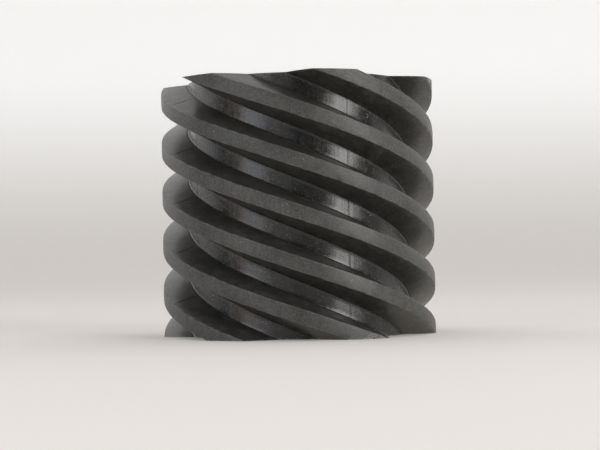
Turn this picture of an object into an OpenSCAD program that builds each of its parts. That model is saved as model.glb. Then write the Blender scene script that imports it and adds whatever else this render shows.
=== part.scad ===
// Multi-start worm moulded in one piece of black plastic.
// It stands on one end: the axis is +Z and the origin is the middle of the lower end face.

/* [Thread] */
// Diameter over the thread crests
outside_d = 54.5; // [50:0.5:60]
// Diameter of the smooth core at the bottom of the grooves
root_d = 44.6; // [41:0.1:49]
// Length of the worm between its end faces
worm_length = 50.3; // [30:0.1:90]
// Number of threads
starts = 6; // [4:1:8]
// Distance along the axis from one thread to the next
thread_pitch = 9.64; // [8.8:0.02:14]
// Width of the flat crest, measured along the axis
crest_w = 2.9; // [1.5:0.1:3.5]
// Slope of each flank away from square to the axis, in degrees
flank_angle = 22; // [10:0.5:25]
// Radius of the fillet between each flank and the core
root_fillet = 0.5; // [0.2:0.1:1]
// Angle around the axis at which a crest meets the lower end face
first_crest_angle = -1.5; // [-30:0.1:30]
// Hand of the threads
hand = "left"; // [left, right]

/* [Bore] */
// Diameter of the shaft bore
bore_d = 16; // [10:0.1:22]
// Chamfer at each mouth of the bore
bore_chamfer = 0.8; // [0.2:0.1:1.5]
// Width of the keyway
key_w = 5; // [3:0.1:6]
// Depth of the keyway beyond the bore wall
key_depth = 2.3; // [1:0.1:3]
// Angle around the axis at which the keyway is cut
key_angle = 90; // [0:5:355]

/* [Hidden] */

crest_r = outside_d / 2;
root_r = root_d / 2;
bore_r = bore_d / 2;

// The axial profile is wrapped around the axis: one lead is one full turn
lead = starts * thread_pitch;
deg_per_mm = 360 / lead;
turn = worm_length * deg_per_mm;
twist_sign = hand == "left" ? 1 : -1;

// Axial distances from the middle of a crest to its edge and to the corner below its flank
crest_half = crest_w / 2;
foot_half = crest_half + (crest_r - root_r) * tan(flank_angle);
// Angle that each fillet turns through, and where it runs out on the groove floor
fillet_turn = 90 - flank_angle;
floor_edge = foot_half + root_fillet * tan(fillet_turn / 2);

// Number of straight steps along each stretch of the profile
crest_steps = 3;
flank_steps = 2;
fillet_steps = 2;
floor_steps = 3;
// Turn of the outline from one layer to the next
layer_angle = 5.2;
layers = ceil(turn / layer_angle);

// How far cutting shapes run past the face they cut
overrun = 1;

function between(a, b, j, steps) = a + (b - a) * j / steps;

// Points of the axial profile are [distance along the axis from the middle of a crest, radius]
crest_profile = [for (j = [0 : crest_steps])
    [between(-crest_half, crest_half, j, crest_steps), crest_r]];
fillet_profile = [for (j = [fillet_steps : -1 : 0])
    let (a = fillet_turn * j / fillet_steps)
        [floor_edge - root_fillet * sin(a), root_r + root_fillet * (1 - cos(a))]];
flank_profile = [for (j = [1 : flank_steps - 1])
    between([crest_half, crest_r], fillet_profile[0], j, flank_steps)];
floor_profile = [for (j = [1 : floor_steps - 1])
    [between(floor_edge, thread_pitch - floor_edge, j, floor_steps), root_r]];

// One side of a thread from the crest down to the groove floor, and its mirror image
far_side = concat(flank_profile, fillet_profile);
near_side = [for (j = [len(far_side) - 1 : -1 : 0]) [-far_side[j][0], far_side[j][1]]];
thread_profile = concat(near_side, crest_profile, far_side, floor_profile);

// Outline of all threads, seen along the axis
threads_outline = [
    for (i = [0 : starts - 1])
        for (p = thread_profile)
            let (a = first_crest_angle + (i * thread_pitch + p[0]) * deg_per_mm)
                [p[1] * cos(a), p[1] * sin(a)]
];

// All threads on the core, before the bore is cut
module threaded_core() {
    linear_extrude(height = worm_length, twist = twist_sign * turn, slices = layers, convexity = 10)
        polygon(threads_outline);
}

// Shaft bore, open at both ends
module bore_cut() {
    translate([0, 0, -overrun])
        cylinder(r = bore_r, h = worm_length + 2 * overrun, $fn = 96);
}

// Chamfer at the lower mouth of the bore
module mouth_chamfer() {
    translate([0, 0, -overrun])
        cylinder(r1 = bore_r + bore_chamfer + overrun, r2 = bore_r, h = bore_chamfer + overrun, $fn = 96);
}

// Straight keyway along the whole bore
module keyway_cut() {
    rotate([0, 0, key_angle])
        translate([0, -key_w / 2, -overrun])
            cube([bore_r + key_depth, key_w, worm_length + 2 * overrun]);
}

module worm() {
    color([0.15, 0.15, 0.16])
        difference() {
            threaded_core();
            bore_cut();
            keyway_cut();
            mouth_chamfer();
            translate([0, 0, worm_length])
                mirror([0, 0, 1])
                    mouth_chamfer();
        }
}

worm();
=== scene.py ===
import math

import bpy
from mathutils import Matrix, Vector


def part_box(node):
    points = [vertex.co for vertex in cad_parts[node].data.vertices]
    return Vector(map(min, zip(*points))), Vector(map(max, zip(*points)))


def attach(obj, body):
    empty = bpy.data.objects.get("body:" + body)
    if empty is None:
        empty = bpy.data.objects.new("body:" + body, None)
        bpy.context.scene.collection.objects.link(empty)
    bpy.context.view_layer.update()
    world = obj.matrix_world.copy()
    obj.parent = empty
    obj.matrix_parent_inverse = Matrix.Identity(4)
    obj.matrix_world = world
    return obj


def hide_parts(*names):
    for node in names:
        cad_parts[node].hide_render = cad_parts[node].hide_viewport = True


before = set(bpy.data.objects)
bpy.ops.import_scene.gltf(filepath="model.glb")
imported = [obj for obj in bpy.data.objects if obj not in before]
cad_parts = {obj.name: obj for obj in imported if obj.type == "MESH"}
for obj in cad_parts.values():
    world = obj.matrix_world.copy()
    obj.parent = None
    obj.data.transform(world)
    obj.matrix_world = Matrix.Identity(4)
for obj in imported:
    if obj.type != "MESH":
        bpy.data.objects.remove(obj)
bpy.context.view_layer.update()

# The view: level with the lower third of the worm, looking along +Y and a little upwards,
# turned by about a degree so that the worm leans to the left.
bpy.ops.object.camera_add(
    location=(0.000176, -0.319098, 0.015237),
    rotation=(math.radians(91.2012), math.radians(0.9288), 0),
)
camera = bpy.context.object
camera.data.lens = 95.07
camera.data.sensor_width = 36
camera.data.clip_start = 0.01
bpy.context.scene.camera = camera
bpy.context.scene.view_settings.view_transform = "Standard"

# The worm: one moulding of black plastic with left-hand threads on a smooth core.
# Four slides form the threads and meet in four lines along the axis, which show on the core
# and across the flanks. The crests are dull and the grooves keep the polish of the mould.
mm = 0.001
foot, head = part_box("worm")
worm_length = head.z - foot.z
crest_r = min(head.x, head.y, -foot.x, -foot.y)
root_r = 21.85 * mm
thread_count = 6
thread_pitch = 9.64 * mm
lead = thread_count * thread_pitch
crest_half = 1.45 * mm
flank_angle = math.radians(18.5)
foot_half = crest_half + (crest_r - root_r) * math.tan(flank_angle)
root_fillet = 0.25 * mm
crest_break = 0.12 * mm
first_crest = math.radians(-1.5)
crest_height = first_crest * lead / math.tau
bore_r = 8 * mm
bore_chamfer = 0.8 * mm
key_half = 2.5 * mm
key_reach = 10.3 * mm
slide_lines = [math.radians(a) for a in (-154, -64, 26, 116)]
line_height = 0.035 * mm
nick_depth = 0.08 * mm

# How far a point may lie from a place and still count as being there, from loose to strict
near = mm / 10
hair = mm / 100
touching = mm / 1000


def edit_by_place(chosen, kind="VERT"):
    """Goes into edit mode with only the points selected whose place passes the test."""
    bpy.ops.object.mode_set(mode="OBJECT")
    mesh = bpy.context.object.data
    for part in (mesh.polygons, mesh.edges):
        part.foreach_set("select", [False] * len(part))
    mesh.vertices.foreach_set("select", [chosen(v.co) for v in mesh.vertices])
    bpy.ops.object.mode_set(mode="EDIT")
    bpy.ops.mesh.select_mode(type="VERT")
    if kind != "VERT":
        bpy.ops.mesh.select_mode(type=kind)


def off_crest(v):
    """Distance along the axis from the middle of the nearest crest, upwards."""
    along = v.z + math.atan2(v.y, v.x) * lead / math.tau - crest_height
    return (along / thread_pitch + 0.5) % 1 * thread_pitch - thread_pitch / 2


# One thread's profile, drawn in the XZ plane from groove floor to groove floor
bpy.ops.object.select_all(action="DESELECT")
bpy.ops.mesh.primitive_plane_add(size=mm, location=(0, 0, 0))
body = bpy.context.object
body.name = "worm_moulding"
bpy.ops.object.mode_set(mode="EDIT")
bpy.ops.mesh.merge(type="CENTER")
profile = [
    (root_r, -thread_pitch / 2),
    (root_r, -foot_half),
    (crest_r, -crest_half),
    (crest_r, crest_half),
    (root_r, foot_half),
    (root_r, thread_pitch / 2),
]
bpy.ops.transform.translate(value=(profile[0][0], 0, profile[0][1] + crest_height))
for (r0, z0), (r1, z1) in zip(profile, profile[1:]):
    bpy.ops.mesh.extrude_region_move(TRANSFORM_OT_translate={"value": (r1 - r0, 0, z1 - z0)})

# The root corners are filleted and the crest's corners are just broken
root_offset = root_fillet * math.tan((math.pi / 2 - flank_angle) / 2)
edit_by_place(lambda v: v.x < root_r + near and abs(abs(off_crest(v)) - foot_half) < near)
bpy.ops.mesh.bevel(offset_type="OFFSET", offset=root_offset, segments=4, affect="VERTICES")
edit_by_place(lambda v: v.x > crest_r - near)
bpy.ops.mesh.bevel(offset_type="OFFSET", offset=crest_break, segments=3, affect="VERTICES")

# The straight stretches get more points: the crest, the groove floor and then each flank
edit_by_place(lambda v: v.x > crest_r - hair)
bpy.ops.mesh.subdivide(number_cuts=3)
edit_by_place(lambda v: v.x < root_r + hair)
bpy.ops.mesh.subdivide(number_cuts=1)
flank_foot = root_r + root_fillet / 2
flank_top = crest_r - crest_break * 2 / 3
for side in (-1, 1):
    edit_by_place(lambda v: flank_foot < v.x < flank_top and side * off_crest(v) > 0)
    bpy.ops.mesh.subdivide(number_cuts=4)
bpy.ops.object.mode_set(mode="OBJECT")

# The profile is stacked along the axis and wound once round it, falling as it turns: left hand
stack = body.modifiers.new("stack", "ARRAY")
stack.count = math.ceil((lead + worm_length) / thread_pitch) + 1
stack.use_relative_offset = False
stack.use_constant_offset = True
stack.constant_offset_displace = (0, 0, thread_pitch)
stack.use_merge_vertices = True
stack.merge_threshold = hair
bpy.ops.object.modifier_apply(modifier=stack.name)
winding = body.modifiers.new("winding", "SCREW")
winding.angle = math.tau
winding.screw_offset = -lead
winding.steps = 300
winding.render_steps = 300
winding.use_merge_vertices = False
bpy.ops.object.modifier_apply(modifier=winding.name)
edit_by_place(lambda v: True)
bpy.ops.mesh.remove_doubles(threshold=hair)

# It is cut to length, and each end face is pressed flat
for height, above in ((0, False), (worm_length, True)):
    bpy.ops.mesh.select_all(action="SELECT")
    bpy.ops.mesh.bisect(
        plane_co=(0, 0, height), plane_no=(0, 0, 1),
        clear_inner=not above, clear_outer=above, use_fill=True, threshold=touching,
    )
    edit_by_place(lambda v: abs(v.z - height) < 2 * touching)
    bpy.ops.transform.resize(value=(1, 1, 0), center_override=(0, 0, height))

# Where the slides meet there are extra lines of points along the axis. Each cut runs through
# the axis, so two cuts make all four lines
line_half_width = 0.3
for line in slide_lines[:2]:
    for shift in (-line_half_width, 0, line_half_width):
        turn = line + math.radians(shift)
        bpy.ops.mesh.select_all(action="SELECT")
        bpy.ops.mesh.bisect(
            plane_co=(0, 0, 0), plane_no=(-math.sin(turn), math.cos(turn), 0), threshold=touching,
        )
bpy.ops.mesh.select_all(action="SELECT")
bpy.ops.mesh.normals_make_consistent(inside=False)


def on_slide_line(v, low, high):
    """True for a point where slides meet, between two radii and clear of the end faces."""
    if not (low < math.hypot(v.x, v.y) < high and near < v.z < worm_length - near):
        return False
    turn = math.atan2(v.y, v.x)
    return min(abs(turn - line) for line in slide_lines) < math.radians(0.05)


# A fine raised line on the core, and a shallow nick across each upper flank
edit_by_place(lambda v: on_slide_line(v, root_r - near, root_r + near))
bpy.ops.transform.shrink_fatten(value=line_height)
edit_by_place(lambda v: on_slide_line(v, root_r + root_fillet, crest_r - 2 * near) and off_crest(v) > 0)
bpy.ops.transform.shrink_fatten(value=-nick_depth)
bpy.ops.object.mode_set(mode="OBJECT")

# The bore with its chamfers, and the keyway, as two cutters
bpy.ops.object.select_all(action="DESELECT")
bpy.ops.mesh.primitive_cylinder_add(
    vertices=96, radius=bore_r, depth=worm_length - 2 * bore_chamfer, end_fill_type="NGON",
    location=(0, 0, worm_length / 2),
)
cutter = bpy.context.object
mouth = (bore_r + bore_chamfer) / bore_r
overrun = 1 * mm
for end in (-1, 1):
    edit_by_place(lambda v: end * v.z > 0, "FACE")
    bpy.ops.mesh.extrude_region_move(TRANSFORM_OT_translate={"value": (0, 0, end * bore_chamfer)})
    bpy.ops.transform.resize(value=(mouth, mouth, 1), center_override=(0, 0, 0))
    bpy.ops.mesh.extrude_region_move(TRANSFORM_OT_translate={"value": (0, 0, end * overrun)})
bpy.ops.object.mode_set(mode="OBJECT")
bpy.ops.object.transform_apply(location=True, rotation=True, scale=True)
bpy.ops.object.select_all(action="DESELECT")
bpy.ops.mesh.primitive_cube_add(
    size=1, location=(0, key_reach / 2, worm_length / 2),
    scale=(2 * key_half, key_reach, worm_length + 2 * overrun),
)
keyway = bpy.context.object
bpy.ops.object.transform_apply(location=True, rotation=True, scale=True)
for tool in (cutter, keyway):
    bpy.ops.object.select_all(action="DESELECT")
    body.select_set(True)
    bpy.context.view_layer.objects.active = body
    cut = body.modifiers.new("cut", "BOOLEAN")
    cut.operation = "DIFFERENCE"
    cut.solver = "EXACT"
    cut.object = tool
    bpy.ops.object.modifier_apply(modifier=cut.name)
bpy.ops.object.select_all(action="DESELECT")
cutter.select_set(True)
keyway.select_set(True)
bpy.ops.object.delete()
body.select_set(True)
bpy.context.view_layer.objects.active = body

# Uneven places of a used moulding: all of it waves very slightly, and the crests' corners are
# ragged. Both only take plastic away, and the end faces and the bore stay as they are
for name, low, wave, depth in (
    ("waves", root_r - near, 3.2 * mm, 0.035 * mm),
    ("ragged_corners", crest_r - 0.25 * mm, 0.7 * mm, 0.10 * mm),
):
    group = body.vertex_groups.new(name=name)
    ragged = name == "ragged_corners"
    edit_by_place(lambda v: (
        math.hypot(v.x, v.y) > low and near / 2 < v.z < worm_length - near / 2
        and (not ragged or abs(abs(off_crest(v)) - crest_half) < 0.16 * mm)
    ))
    bpy.ops.object.vertex_group_assign()
    bpy.ops.object.mode_set(mode="OBJECT")
    clouds = bpy.data.textures.new(name, "CLOUDS")
    clouds.noise_scale = wave
    clouds.noise_depth = 1
    uneven = body.modifiers.new(name, "DISPLACE")
    uneven.texture = clouds
    uneven.texture_coords = "LOCAL"
    uneven.mid_level = 1.0
    uneven.strength = depth
    uneven.vertex_group = name
    bpy.ops.object.modifier_apply(modifier=uneven.name)

# Knocks on the crests, dents first, then two crumbs of flash left standing by the lower end.
# Each has its angle in degrees, then its height, reach and depth in millimetres
for degrees, height, reach, depth in (
    (-74.2, 29.35, 0.50, 0.26), (-72.8, 29.15, 0.40, 0.14), (-89.6, 43.9, 0.55, 0.10),
    (-80.6, 21.8, 0.60, 0.08), (-54.0, 9.6, 0.55, 0.16), (-56.5, 9.95, 0.50, 0.10),
    (-141.0, 4.2, 0.55, 0.16), (-118.0, 32.3, 0.40, 0.12), (-14.5, 50.0, 0.60, 0.25),
    (61.0, 27.0, 0.60, 0.18), (152.0, 12.0, 0.50, 0.20), (98.0, 40.0, 0.60, 0.15),
    (-59.3, 0.55, 0.50, -0.10), (-55.7, 0.45, 0.45, -0.14),
):
    turn = math.radians(degrees)
    spot = Vector((crest_r * math.cos(turn), crest_r * math.sin(turn), height * mm))
    edit_by_place(lambda v: (v - spot).length < reach * mm)
    inwards = (-depth * mm * math.cos(turn), -depth * mm * math.sin(turn), 0)
    bpy.ops.transform.translate(value=inwards)
    bpy.ops.object.mode_set(mode="OBJECT")

# The end faces stay flat and crisp against the flanks, and all the rest shades smoothly
for end in (0, worm_length):
    edit_by_place(lambda v: abs(v.z - end) < hair, "FACE")
    bpy.ops.mesh.region_to_loop()
    bpy.ops.mesh.mark_sharp()
bpy.ops.object.mode_set(mode="OBJECT")
bpy.ops.object.shade_smooth_by_angle(angle=math.radians(35), keep_sharp_edges=True)


class Wire:
    """A socket's value in a material: arithmetic on it adds the Math nodes."""

    def __init__(self, tree, socket=None):
        self.tree = tree
        self.socket = socket

    def add(self, kind, settings, inputs, output=0):
        node = self.tree.nodes.new(kind)
        for name, value in settings.items():
            setattr(node, name, value)
        for name, value in inputs.items():
            if isinstance(value, Wire):
                self.tree.links.new(value.socket, node.inputs[name])
            else:
                node.inputs[name].default_value = value
        return Wire(self.tree, node.outputs[output] if node.outputs else None)

    def maths(self, operation, *values):
        return self.add("ShaderNodeMath", {"operation": operation}, dict(enumerate(values)))

    def __add__(self, other):
        return self.maths("ADD", self, other)

    def __sub__(self, other):
        return self.maths("SUBTRACT", self, other)

    def __rsub__(self, other):
        return self.maths("SUBTRACT", other, self)

    def __mul__(self, other):
        return self.maths("MULTIPLY", self, other)

    def __truediv__(self, other):
        return self.maths("DIVIDE", self, other)

    __radd__ = __add__
    __rmul__ = __mul__

    def between(self, low, high):
        """0 below low, 1 above high and a smooth step from one to the other."""
        limits = {"Value": self, "From Min": low, "From Max": high}
        return self.add("ShaderNodeMapRange", {"interpolation_type": "SMOOTHSTEP"}, limits)

    def blend(self, without, with_it):
        """A colour that goes from one to another as this value goes from 0 to 1."""
        sockets = {0: self, 6: without, 7: with_it}
        return self.add("ShaderNodeMix", {"data_type": "RGBA"}, sockets, 2)


# Black plastic: dull grey crests with a fine grain, darker flanks, and a polished core
crest_black = (0.025, 0.0251, 0.0235, 1)
crest_grey = (0.077, 0.0771, 0.0718, 1)
flank_black = (0.014, 0.0139, 0.0127, 1)
flank_grey = (0.050, 0.0496, 0.0455, 1)
core_black = (0.004, 0.004, 0.004, 1)
# What lies on it: scuffs, brown and bluish dust, pale grains and specks. The scuffs' grey also paints
# light on the flanks, and a brown paints a reflection on the core
scuff_and_light_grey = (0.101, 0.097, 0.084, 1)
brown_dust = (0.058, 0.045, 0.035, 1)
blue_dust = (0.038, 0.040, 0.048, 1)
reflection_brown = (0.085, 0.064, 0.044, 1)
grain_grey = (0.17, 0.165, 0.155, 1)
speck_grey = (0.22, 0.215, 0.20, 1)
# Where it is rubbed or chipped it turns pale, and one pale colour paints the highlight along the
# threads' rims at the ends
rubbed_grey = (0.20, 0.19, 0.175, 1)
crumb_pale = (0.26, 0.235, 0.18, 1)
rim_highlight_pale = (0.32, 0.30, 0.26, 1)
chip_pale = (0.36, 0.34, 0.28, 1)

plastic = bpy.data.materials.new("black_moulded_plastic")
plastic.use_nodes = True
plastic.node_tree.nodes.clear()
mix = Wire(plastic.node_tree)
place = mix.add("ShaderNodeTexCoord", {}, {}, "Object")
x, y, z = (mix.add("ShaderNodeSeparateXYZ", {}, {0: place}, axis) for axis in range(3))
radius = mix.maths("SQRT", x * x + y * y)
angle = mix.maths("ARCTAN2", y, x)
rounds = (z + angle * (lead / math.tau) - crest_height) / thread_pitch + 0.5
from_crest = mix.maths("ABSOLUTE", mix.maths("FRACT", rounds) - 0.5) * thread_pitch


def noise(where, scale, detail=3.0, rough=0.5):
    """An even scatter from 0 to 1, with about `scale` patches to the metre."""
    sockets = {"Vector": where, "Scale": scale, "Detail": detail, "Roughness": rough}
    return mix.add("ShaderNodeTexNoise", {}, sockets)


def stretched(factors):
    """The place with each axis scaled, so that a pattern on it runs long one way."""
    return mix.add("ShaderNodeMapping", {}, {"Vector": place, "Scale": factors})


def by_ends(full, gone):
    """1 within the first distance of an end face, and 0 beyond the second."""
    return 1 - z.between(full, gone) * (1 - z.between(worm_length - gone, worm_length - full))


def towards(degrees, gone, full):
    """1 within `full` degrees of an angle round the axis, and 0 beyond `gone` degrees."""
    facing = mix.maths("COSINE", angle - math.radians(degrees))
    return facing.between(math.cos(math.radians(gone)), math.cos(math.radians(full)))


# The parts of the surface
on_end = by_ends(0.02 * mm, 0.06 * mm)
on_crest = radius.between(crest_r - 0.3 * mm, crest_r - 0.18 * mm) * (1 - on_end)
below_flank = 1 - radius.between(root_r + 0.03 * mm, root_r + 0.15 * mm)
outside_bore = radius.between(14 * mm, 15 * mm)
on_core = below_flank * outside_bore * (1 - on_end)
inside_root = 1 - radius.between(root_r + root_fillet, root_r + 2 * root_fillet)
left_side = 1 - x.between(-6 * mm, -1 * mm)
# Painted light: the lower right, where the flanks are painted paler
painted_light_low_right = (1 - z.between(3 * mm, 10 * mm)) * x.between(8 * mm, 20 * mm)
by_line = mix.maths("COSINE", angle * 4 - 4 * slide_lines[1])
near_line = by_line.between(math.cos(4 * math.radians(5)), 1)
seam = by_line.between(math.cos(4 * math.radians(0.4)), math.cos(4 * math.radians(0.1)))

# The patterns, from fine to coarse
fine_grain = noise(place, 5200, 2.0)
grain = noise(place, 2800, 2.0)
coarse_grain = noise(place, 1100, 3.0)
mottle = (noise(place, 700, 4.0, 0.65) * 0.6 + grain * 0.4).between(0.42, 0.62)
patches = noise(place, 160, 4.0, 0.6)
tint = noise(place, 110, 1.0)
streaks = noise(stretched((3200, 3200, 60)), 1, 3.0, 0.6)
smears = noise(stretched((420, 420, 160)), 1, 5.0, 0.7).between(0.45, 0.72)

# Flanks, with scuffs, and painted light that makes them paler at the lower right
flank_tone = (coarse_grain * 0.3 + grain * 0.7).between(0.38, 0.62)
scuffs_and_painted_light = noise(place, 480, 6.0, 0.72).between(0.47, 0.66) * 0.5 + painted_light_low_right * 0.4
flank_colour = scuffs_and_painted_light.blend(flank_tone.blend(flank_black, flank_grey), scuff_and_light_grey)

# Core, under a haze of dust. The haze is thinned where the core faces the dim front of the room, which
# paints shade there, and a brown band at another angle is a painted reflection
painted_shade_to_front = towards(-84, 22, 8)
haze = (smears * 0.5 + mottle * (0.3 + 0.3 * left_side)) * (1 - 0.55 * painted_shade_to_front)
dust_colour = tint.between(0.42, 0.58).blend(brown_dust, blue_dust)
# Painted reflection: a brown band along the core at one angle, the same in every groove
painted_brown_reflection = towards(-122, 8, 3) * (streaks * 0.6 + coarse_grain * 0.4).between(0.25, 0.65)
core_colour = (painted_brown_reflection * 0.75).blend(haze.blend(core_black, dust_colour), reflection_brown)
colour = on_core.blend(flank_colour, core_colour)
salt = noise(place, 4300, 0.0).between(0.70, 0.77) * (0.35 + 0.35 * left_side * on_core)
colour = salt.blend(colour, grain_grey)

# Crests, with rubbed edges
crest_tone = fine_grain * 0.5 + grain * 0.35 + coarse_grain * 0.15 + patches * 0.3 - 0.15
crest_colour = crest_tone.between(0.38, 0.62).blend(crest_black, crest_grey)
colour = on_crest.blend(colour, crest_colour)
at_corner = from_crest.between(crest_half - 0.3 * mm, crest_half)
edge = at_corner * radius.between(crest_r - 0.5 * mm, crest_r - 0.2 * mm)
worn = edge * noise(place, 620, 6.0, 0.8).between(0.42, 0.62)
colour = (worn * 0.65).blend(colour, rubbed_grey)

# A painted highlight along the threads' rims at both ends, broken up like chips; then the chip at the
# upper right, specks and the crumbs of flash
rim = by_ends(0.08 * mm, 0.26 * mm) * (1 - on_end) * radius.between(20 * mm, 21 * mm)
painted_rim_highlight = rim * (coarse_grain * 0.4 + grain * 0.6).between(0.42, 0.58)
colour = (painted_rim_highlight * 0.6).blend(colour, rim_highlight_pale)
chip_turn = math.radians(-14.5)
chip_place = (crest_r * math.cos(chip_turn), crest_r * math.sin(chip_turn), 50.1 * mm)
off_chip = mix.add("ShaderNodeVectorMath", {"operation": "DISTANCE"}, {0: place, 1: chip_place}, 1)
chip = (1 - off_chip.between(0.4 * mm, 0.9 * mm)) * grain.between(0.35, 0.5)
colour = (chip * 0.8).blend(colour, chip_pale)
specks = noise(place, 2300, 0.0).between(0.79, 0.84) * patches.between(0.5, 0.62)
colour = specks.blend(colour, speck_grey)
crumbs = towards(-57, 8, 3) * (1 - z.between(0.3 * mm, 1.3 * mm)) * grain.between(0.4, 0.6)
colour = (crumbs * 0.8).blend(colour, crumb_pale)

# Shine and relief: the core is polished, with fine lines along the axis and a notch at each seam.
# The fillets are duller than the flanks, and so are the bore and the middle of the end faces
crest_rough = 0.46
core_rough = 0.15 + 0.10 * streaks + 0.09 * smears + 0.05 * mottle
flank_rough = 0.26 + 0.16 * coarse_grain + 0.14 * on_end + 0.25 * inside_root
groove_rough = on_core * core_rough + (1 - on_core) * flank_rough
roughness = on_crest * crest_rough + (1 - on_crest) * groove_rough
crest_relief = (fine_grain + grain * 0.8) * 0.028
line_relief = streaks * (0.010 + 0.034 * near_line) - seam * 0.05
core_relief = line_relief + mottle * (0.003 + 0.004 * left_side)
other_relief = coarse_grain * 0.012
relief = on_crest * crest_relief + on_core * core_relief + (1 - on_core) * other_relief
bump = mix.add("ShaderNodeBump", {}, {"Height": relief, "Distance": mm, "Strength": 1.0})
skin = mix.add("ShaderNodeBsdfPrincipled", {}, {
    "Base Color": colour, "Roughness": roughness, "Normal": bump, "IOR": 1.55,
})
mix.add("ShaderNodeOutputMaterial", {}, {"Surface": skin})
body.data.materials.clear()
body.data.materials.append(plastic)
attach(body, "root")
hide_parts("worm")

# The setting: a pale sheet that runs from the floor up behind the worm, lit by soft lamps
# on both sides and a faint one in front. The sheet is a little darker and warmer at its foot,
# a painted shadow round the worm, and it glows by itself: painted light, faint at its foot,
# stronger up the back and strongest to the sides.
sheet_width = 9
sheet_depth = 5.4
sheet_shift = -2
sheet_rise = 1.6
bpy.ops.object.select_all(action="DESELECT")
bpy.ops.mesh.primitive_plane_add(size=1, location=(0, 0, 0), scale=(1, 1, 1))
sheet = bpy.context.object
sheet.name = "pale_sheet"
bpy.ops.object.mode_set(mode="EDIT")
bpy.ops.transform.resize(value=(sheet_width, sheet_depth, 1))
bpy.ops.transform.translate(value=(0, sheet_shift, 0))
edit_by_place(lambda v: v.y > 0, "EDGE")
bpy.ops.mesh.extrude_region_move(TRANSFORM_OT_translate={"value": (0, 0, sheet_rise)})
edit_by_place(lambda v: v.y > 0 and v.z < sheet_rise / 2, "EDGE")
bpy.ops.mesh.bevel(offset=0.3, segments=16, affect="EDGES")
bpy.ops.mesh.select_all(action="SELECT")
bpy.ops.mesh.normals_make_consistent(inside=True)
bpy.ops.object.mode_set(mode="OBJECT")
bpy.ops.object.shade_smooth()

# Painted shadow: the darker, warmer paper at the foot. Painted light: the sheet's own glow
shaded_foot_paper = (0.74, 0.71, 0.68, 1)
back_paper = (0.86, 0.85, 0.835, 1)
foot_glow = (0.12, 0.11, 0.10, 1)
back_glow = (0.48, 0.48, 0.48, 1)
side_glow = (0.85, 0.85, 0.85, 1)
paper = bpy.data.materials.new("pale_paper")
paper.use_nodes = True
paper.node_tree.nodes.clear()
on_paper = Wire(paper.node_tree)
paper_place = on_paper.add("ShaderNodeTexCoord", {}, {}, "Object")
across = on_paper.add("ShaderNodeSeparateXYZ", {}, {0: paper_place}, 0)
up = on_paper.add("ShaderNodeSeparateXYZ", {}, {0: paper_place}, 2)
rise = up.between(0.0, 0.14)
aside = on_paper.maths("ABSOLUTE", across).between(0.22, 0.5)
paper_skin = on_paper.add("ShaderNodeBsdfPrincipled", {}, {
    "Base Color": rise.blend(shaded_foot_paper, back_paper), "Roughness": 0.9,
    "Emission Color": rise.blend(foot_glow, aside.blend(back_glow, side_glow)),
    "Emission Strength": 1.0,
})
on_paper.add("ShaderNodeOutputMaterial", {}, {"Surface": paper_skin})
sheet.data.materials.append(paper)

for name, degrees, height, distance, wide, tall, watts, tone in (
    ("right_lamp", 49, 0.12, 0.60, 0.27, 0.40, 2.25, (1.0, 0.99, 0.965)),
    ("left_lamp", -46, 0.12, 0.60, 0.26, 0.40, 0.8, (0.90, 0.92, 1.0)),
    ("front_lamp", -20, 0.14, 0.62, 0.32, 0.44, 0.22, (1.0, 1.0, 1.0)),
):
    turn = math.radians(degrees)
    where = Vector((distance * math.sin(turn), -distance * math.cos(turn), height))
    aim = (Vector((0, 0, worm_length / 2)) - where).to_track_quat("-Z", "Y")
    bpy.ops.object.light_add(type="AREA", location=where, rotation=aim.to_euler())
    lamp = bpy.context.object
    lamp.name = name
    lamp.data.shape = "RECTANGLE"
    lamp.data.size = wide
    lamp.data.size_y = tall
    lamp.data.energy = watts
    lamp.data.color = tone

# The room is dim in front of the worm and bright behind it and overhead
room = bpy.data.worlds.new("room")
bpy.context.scene.world = room
room.use_nodes = True
room.node_tree.nodes.clear()
air = Wire(room.node_tree)
way = air.add("ShaderNodeTexCoord", {}, {}, "Generated")
behind = air.add("ShaderNodeSeparateXYZ", {}, {0: way}, 1)
overhead = air.add("ShaderNodeSeparateXYZ", {}, {0: way}, 2)
bright = (behind + overhead * 0.3).between(-0.1, 0.2)
white = (1, 1, 1, 1)
room_light = air.add("ShaderNodeBackground", {}, {"Color": white, "Strength": 0.14 + 0.81 * bright})
air.add("ShaderNodeOutputWorld", {}, {"Surface": room_light})
